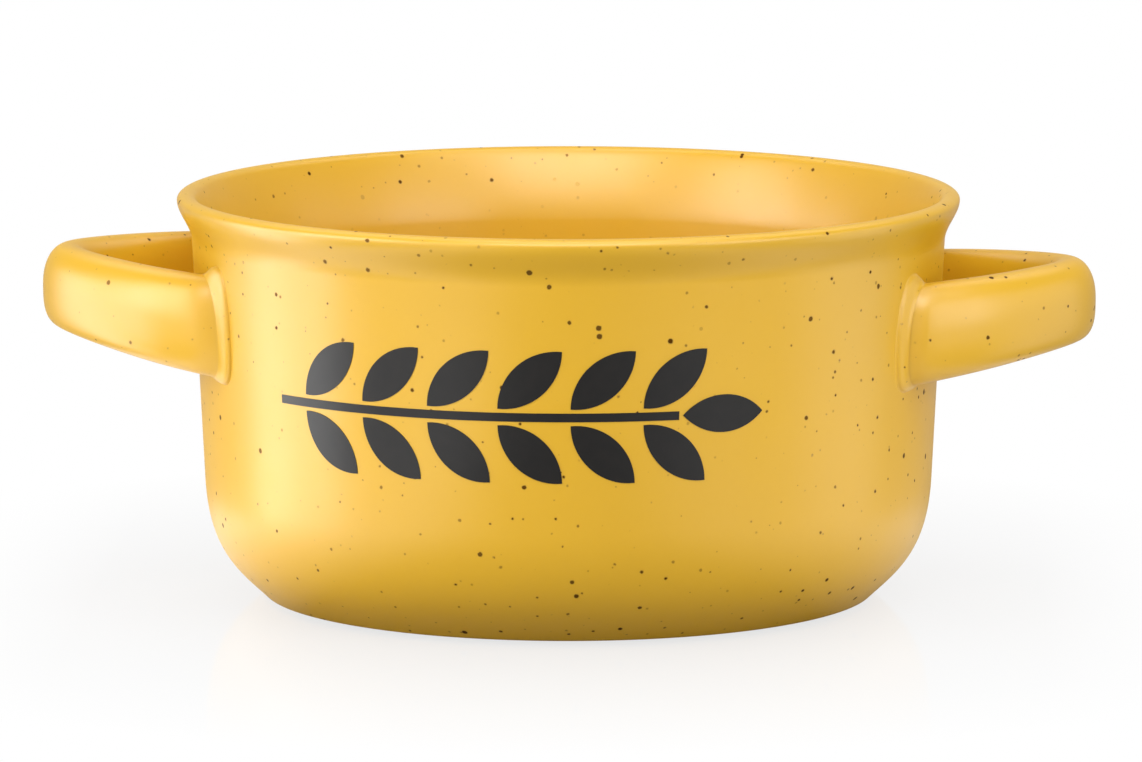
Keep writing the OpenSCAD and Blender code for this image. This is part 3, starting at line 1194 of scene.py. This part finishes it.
    def build(self, strap_tree: StrapTree, collar_tree: CollarTree, glaze: bpy.types.Material,
              joint: bpy.types.Material) -> None:
        """Build the strap and its two collars.

        Args:
            strap_tree: the tree that sweeps a strap.
            collar_tree: the tree that lays a collar.
            glaze: the finish of the strap.
            joint: the finish of the collars.
        """
        name = self.hand.name.lower()
        sizes = asdict(self.rule())
        line = station_mesh(f"{name}_strap_line", self.strap_stations())
        strap = strap_tree.run(f"{name}_strap", line, glaze, dict(sizes, slip_t=self.slip_t))
        register(strap, f"{name}_handle", "handle_glaze")
        for leg in Leg:
            end = f"{name}_{leg.name.lower()}"
            seed = station_mesh(f"{end}_collar_line", self.collar_stations())
            collar = collar_tree.run(f"{end}_collar", seed, joint, dict(sizes, side=float(leg.value)))
            register(collar, f"{end}_slip_joint", "joint_glaze")


class SprigTree(ShapeTree):
    """A sprig of leaves laid out flat, then wrapped on the wall and given its thickness."""

    SIZES = ("leaf_l", "leaf_w", "leaf_lean", "leaf_gap", "leaf_pitch", "stem_w", "thickness", "turn")
    PLACE = ("middle_z", "wall_r", "wall_slope")
    LEAF_STEPS = 24
    LEAF_ROWS = 6
    STEM_STEPS = 64

    def __init__(self) -> None:
        """Build the tree."""
        super().__init__("leaf_sprig")
        g = self.graph
        s = SimpleNamespace(**{size: self.input(size) for size in self.SIZES + self.PLACE})
        pairs = self.input("pairs", SocketKind.COUNT)
        span = pairs * s.leaf_pitch
        start = (span + s.leaf_l) / -2
        leaf = self.leaf(s)
        line = g.node("GeometryNodeMeshLine", inputs={
            "Count": pairs, "Start Location": g.point(start + s.leaf_pitch / 2),
            "Offset": g.point(s.leaf_pitch)})
        rows = [self.leaf_row(line, leaf, s, side) for side in (1, -1)]
        tip = self.moved(leaf, start + span + s.leaf_gap)
        stem = g.node("GeometryNodeMeshGrid", inputs={
            "Size X": span, "Size Y": s.stem_w, "Vertices X": self.STEM_STEPS + 1, "Vertices Y": 2})
        flat = g.node("GeometryNodeRealizeInstances", inputs={
            "Geometry": self.joined(*rows, tip, self.moved(stem, start + span / 2))})
        along, up, _ = g.parts(g.node("GeometryNodeInputPosition"))
        turn = along / s.wall_r + s.turn
        radius = s.wall_r + up * s.wall_slope
        lying = self.placed(flat, radius * g.math("SINE", turn), -radius * g.math("COSINE", turn),
                            s.middle_z + up)
        raised = g.node("GeometryNodeExtrudeMesh", {"mode": "FACES"}, {
            "Mesh": lying, "Offset Scale": s.thickness * MM, "Individual": False})
        back = g.node("GeometryNodeFlipFaces", inputs={"Mesh": lying})
        self.close(self.sealed(self.joined(raised, back)))

    def moved(self, shape: Term, along: Term) -> Term:
        """A flat shape moved along X."""
        return self.graph.node("GeometryNodeTransform", inputs={
            "Geometry": shape, "Translation": self.graph.point(along)})

    def leaf(self, s: SimpleNamespace) -> Term:
        """Lay out a flat leaf with two round edges.

        Args:
            s: the inputs of the tree.

        Returns:
            The leaf, with its base at the origin and its tip along X.
        """
        g = self.graph
        grid = g.node("GeometryNodeMeshGrid", inputs={
            "Size X": 1.0, "Size Y": 2.0, "Vertices X": self.LEAF_STEPS + 1,
            "Vertices Y": self.LEAF_ROWS + 1})
        along, across, _ = g.parts(g.node("GeometryNodeInputPosition"))
        radius = (s.leaf_l * s.leaf_l + s.leaf_w * s.leaf_w) / (4 * s.leaf_w)
        out = along * s.leaf_l
        half = g.math("SQRT", radius * radius - out * out) - radius + s.leaf_w / 2
        shaped = g.point((along + 0.5) * s.leaf_l, across * g.math("MAXIMUM", half, 0.0))
        return g.node("GeometryNodeSetPosition", inputs={"Geometry": grid, "Position": shaped})

    def leaf_row(self, line: Term, leaf: Term, s: SimpleNamespace, side: int) -> Term:
        """Lay a row of leaves on one side of the stem.

        Args:
            line: a point for each leaf, along the stem.
            leaf: the leaf.
            s: the inputs of the tree.
            side: 1 above the stem and -1 below it.

        Returns:
            The leaves, as instances.
        """
        g = self.graph
        shifted = g.node("GeometryNodeSetPosition", inputs={
            "Geometry": line, "Offset": g.point(y=side * (s.stem_w / 2 + s.leaf_gap))})
        return g.node("GeometryNodeInstanceOnPoints", inputs={
            "Points": shifted, "Instance": leaf, "Rotation": g.point(z=side * s.leaf_lean)})


@dataclass(frozen=True)
class LeafSprig:
    """The black sprig of leaves that is printed on the front wall."""

    bowl: Bowl
    drop: float = 1.2
    turn: float = math.radians(-7.5)
    thickness: float = 0.1
    pairs: int = 6
    leaf_l: float = 15.0
    leaf_w: float = 6.6
    leaf_lean: float = math.radians(42)
    leaf_gap: float = 0.7
    leaf_pitch: float = 12.6
    stem_w: float = 1.5

    def build(self, ink: bpy.types.Material) -> None:
        """Build the sprig.

        Args:
            ink: the finish of the print.
        """
        middle_z = (self.bowl.wall_low.y + self.bowl.wall_top.y) / 2 - self.drop
        sizes = {size: getattr(self, size) for size in SprigTree.SIZES}
        seed = bpy.data.meshes.new("sprig_seed")
        sprig = SprigTree().run("leaf_sprig", seed, ink, dict(
            sizes, pairs=self.pairs, middle_z=middle_z, wall_r=self.bowl.wall_r(middle_z),
            wall_slope=math.tan(self.bowl.wall_lean)))
        register(sprig, "front_print", "black_print")


class LampUse(Enum):
    """What a lamp does: light the mug and show in its sheen, or only one of the two."""

    BOTH = "both"
    SHEEN = "sheen"
    FILL = "fill"


@dataclass(frozen=True)
class SoftBox:
    """A soft studio lamp: a lit sheet that faces the mug.

    Its place is a turn from the front, to the right, and a rise above the mug, both in degrees, and a
    distance. Sizes are in metres and the power in watts.
    """

    name: str
    turn: float
    rise: float
    away: float
    wide: float
    high: float
    power: float
    use: LampUse = LampUse.BOTH
    aim_z: float = 0.035

    def build(self) -> None:
        """Hang the lamp for its use, out of the camera's sight."""
        lamp = bpy.data.lights.new(self.name, "AREA")
        lamp.shape = "RECTANGLE"
        lamp.size, lamp.size_y = self.wide, self.high
        lamp.energy = self.power
        turn, rise = math.radians(self.turn), math.radians(self.rise)
        out = Vector((math.sin(turn) * math.cos(rise), -math.cos(turn) * math.cos(rise), math.sin(rise)))
        hung = bpy.data.objects.new(self.name, lamp)
        hung.location = out * self.away + Vector((0, 0, self.aim_z))
        hung.rotation_euler = (-out).to_track_quat("-Z", "Y").to_euler()
        hung.visible_camera = False
        hung.visible_diffuse = self.use is not LampUse.SHEEN
        hung.visible_glossy = self.use is not LampUse.FILL
        bpy.context.scene.collection.objects.link(hung)


LAMPS = (
    SoftBox("left_sheen_panel", turn=-98, rise=-8, away=0.7, wide=0.24, high=0.66, power=2.9,
            use=LampUse.SHEEN),
    SoftBox("left_strip", turn=-78, rise=4, away=0.8, wide=0.16, high=0.66, power=2.0),
    SoftBox("left_front_box", turn=-64, rise=20, away=0.8, wide=0.36, high=0.6, power=2.8),
    SoftBox("left_window", turn=-60, rise=22, away=0.8, wide=0.4, high=0.6, power=1.5, use=LampUse.SHEEN),
    SoftBox("front_left_box", turn=-38, rise=10, away=0.9, wide=0.42, high=0.66, power=1.7),
    SoftBox("front_low_box", turn=0, rise=8, away=1.0, wide=0.6, high=0.3, power=0.8),
    SoftBox("front_high_box", turn=0, rise=47, away=1.0, wide=0.8, high=0.34, power=3.7),
    SoftBox("front_window", turn=0, rise=42, away=1.0, wide=0.7, high=0.3, power=3.2, use=LampUse.SHEEN),
    SoftBox("right_front_box", turn=52, rise=14, away=0.8, wide=0.5, high=0.5, power=2.9),
    SoftBox("right_panel", turn=92, rise=-2, away=0.8, wide=0.5, high=0.8, power=1.6),
    SoftBox("high_right_box", turn=45, rise=55, away=0.9, wide=0.45, high=0.45, power=1.4),
    SoftBox("top_box", turn=0, rise=88, away=1.0, wide=0.6, high=0.6, power=3.4),
    SoftBox("high_rear_right_box", turn=135, rise=55, away=0.9, wide=0.45, high=0.45, power=0.9),
    SoftBox("high_rear_left_box", turn=-135, rise=55, away=0.9, wide=0.45, high=0.45, power=1.0),
    SoftBox("rear_fill_box", turn=180, rise=30, away=1.0, wide=0.8, high=0.4, power=3.0, use=LampUse.FILL),
)


@dataclass(frozen=True)
class Studio:
    """The white board that the mug stands on, the white surroundings and the camera, in metres."""

    board_wide: float = 0.23
    board_deep: float = 0.6
    matt: Colour = (0.8, 0.8, 0.8, 1.0)
    bounce: Colour = (0.32, 0.32, 0.32, 1.0)
    left_glow: float = 2.4
    right_glow: float = 1.2
    glow_from: float = 0.045
    glow_to: float = 0.115
    glow_back: float = 0.08
    glow_fade: float = 0.06
    mirrored: float = 0.5
    shadow: float = 0.11
    mirror: float = 0.16
    mirror_roughness: float = 0.06
    fade_from: float = 0.05
    fade_to: float = 0.155
    edge_fade: float = 0.03
    camera_place: tuple[float, float, float] = (0.0498, -1.3991, 0.2443)
    camera_aim: tuple[float, float, float] = (0.00047, 0.0, 0.03814)
    lens: float = 248.39
    sensor: float = 36.0

    def build(self) -> None:
        """Lay the board, set the surroundings and the camera."""
        self.lay_board()
        self.surround()
        view = bpy.data.cameras.new("front_view")
        view.lens = self.lens
        view.sensor_width = self.sensor
        camera = bpy.data.objects.new("front_view", view)
        camera.location = self.camera_place
        look = Vector(self.camera_aim) - Vector(self.camera_place)
        camera.rotation_euler = look.to_track_quat("-Z", "Y").to_euler()
        bpy.context.scene.collection.objects.link(camera)
        bpy.context.scene.camera = camera

    def glow(self, g: Graph, across: Term) -> Term:
        """How strongly the board is lit towards one side, 0 to 1."""
        return g.clamped((across - self.glow_from) / (self.glow_to - self.glow_from))

    def lay_board(self) -> None:
        """Lay the board: white to look at, with a shadow and a mirror image that fade away from the mug."""
        corners = [(-1, -1), (1, -1), (1, 1), (-1, 1)]
        mesh = bpy.data.meshes.new("board_top")
        mesh.from_pydata([(x * self.board_wide / 2, y * self.board_deep / 2, 0) for x, y in corners], [],
                         [(0, 1, 2, 3)])
        made = bpy.data.materials.new("white_board")
        made.use_nodes = True
        g = Graph(made.node_tree)
        place = g.node("ShaderNodeTexCoord", out="Object")
        away = g.node("ShaderNodeVectorMath", {"operation": "LENGTH"}, {0: place}, out="Value")
        across, deep, _ = g.parts(place)
        front = g.clamped((self.glow_back - deep) / self.glow_fade)
        glow = (self.glow(g, -across) * self.left_glow + self.glow(g, across) * self.right_glow) * front
        edge = g.clamped((self.board_wide / 2 - g.math("ABSOLUTE", across)) / self.edge_fade)
        near = g.clamped((self.fade_to - away) / (self.fade_to - self.fade_from)) * edge
        matt = g.node("ShaderNodeBsdfDiffuse", inputs={"Color": self.matt})
        lit = g.node("ShaderNodeEmission", inputs={"Color": WHITE, "Strength": 1.0})
        polish = g.node("ShaderNodeBsdfGlossy", inputs={
            "Color": WHITE, "Roughness": self.mirror_roughness})
        dull = g.node("ShaderNodeAddShader", inputs={
            0: g.node("ShaderNodeBsdfDiffuse", inputs={"Color": self.bounce}),
            1: g.node("ShaderNodeEmission", inputs={"Color": WHITE, "Strength": glow})})
        white = g.node("ShaderNodeMixShader", inputs={0: near * self.shadow, 1: lit, 2: matt})
        shown = g.node("ShaderNodeMixShader", inputs={0: near * self.mirror, 1: white, 2: polish})
        path = g.node("ShaderNodeLightPath", out="Is Camera Ray")
        look = g.clamped(path + path.out("Is Transmission Ray"))
        top = g.node("ShaderNodeMixShader", inputs={0: look, 1: dull, 2: shown})
        g.feed(made.node_tree.nodes["Material Output"].inputs["Surface"], top)
        mesh.materials.append(made)
        board = bpy.data.objects.new("white_board", mesh)
        bpy.context.scene.collection.objects.link(board)

    def surround(self) -> None:
        """Set a surround that is white to look at, softer in a reflection, and gives no light of its own."""
        world = bpy.data.worlds.new("pale_room")
        world.use_nodes = True
        g = Graph(world.node_tree)
        path = g.node("ShaderNodeLightPath", out="Is Camera Ray")
        level = g.clamped(path + path.out("Is Transmission Ray") + path.out("Is Glossy Ray") * self.mirrored)
        room = g.node("ShaderNodeBackground", inputs={"Color": WHITE, "Strength": level})
        g.feed(world.node_tree.nodes["World Output"].inputs["Surface"], room)
        bpy.context.scene.world = world


def main() -> None:
    """Build the mug, its studio and its lamps."""
    logging.basicConfig(level=logging.INFO, format="%(name)s: %(message)s")
    bpy.context.scene.view_settings.view_transform = "Standard"
    coat = GlazeFinish("speckled_glaze", inner_r=64.4).material()
    strap_glaze = GlazeFinish("handle_glaze").material()
    joint_glaze = GlazeFinish("joint_glaze").material()
    bowl = Bowl.from_frame()
    bowl.build(coat, ClayFinish("bare_clay").material())
    strap_tree, collar_tree = StrapTree(), CollarTree()
    left = Handle(bowl, Hand.LEFT, lift=0.8, tilt=math.radians(1.0), spread_root=57.4, pinch=2.0,
                  pinch_to=5.6, collar_w=-0.7, collar_l=2.4, ridge_slope=math.radians(86), crease=0.15,
                  shelf_h=1.15)
    right = Handle(bowl, Hand.RIGHT, lift=-1.0, tilt=math.radians(-0.6))
    for handle in (left, right):
        handle.build(strap_tree, collar_tree, strap_glaze, joint_glaze)
    LeafSprig(bowl).build(PrintFinish("black_print").material())
    Studio().build()
    for lamp in LAMPS:
        lamp.build()


if __name__ == "__main__":
    main()
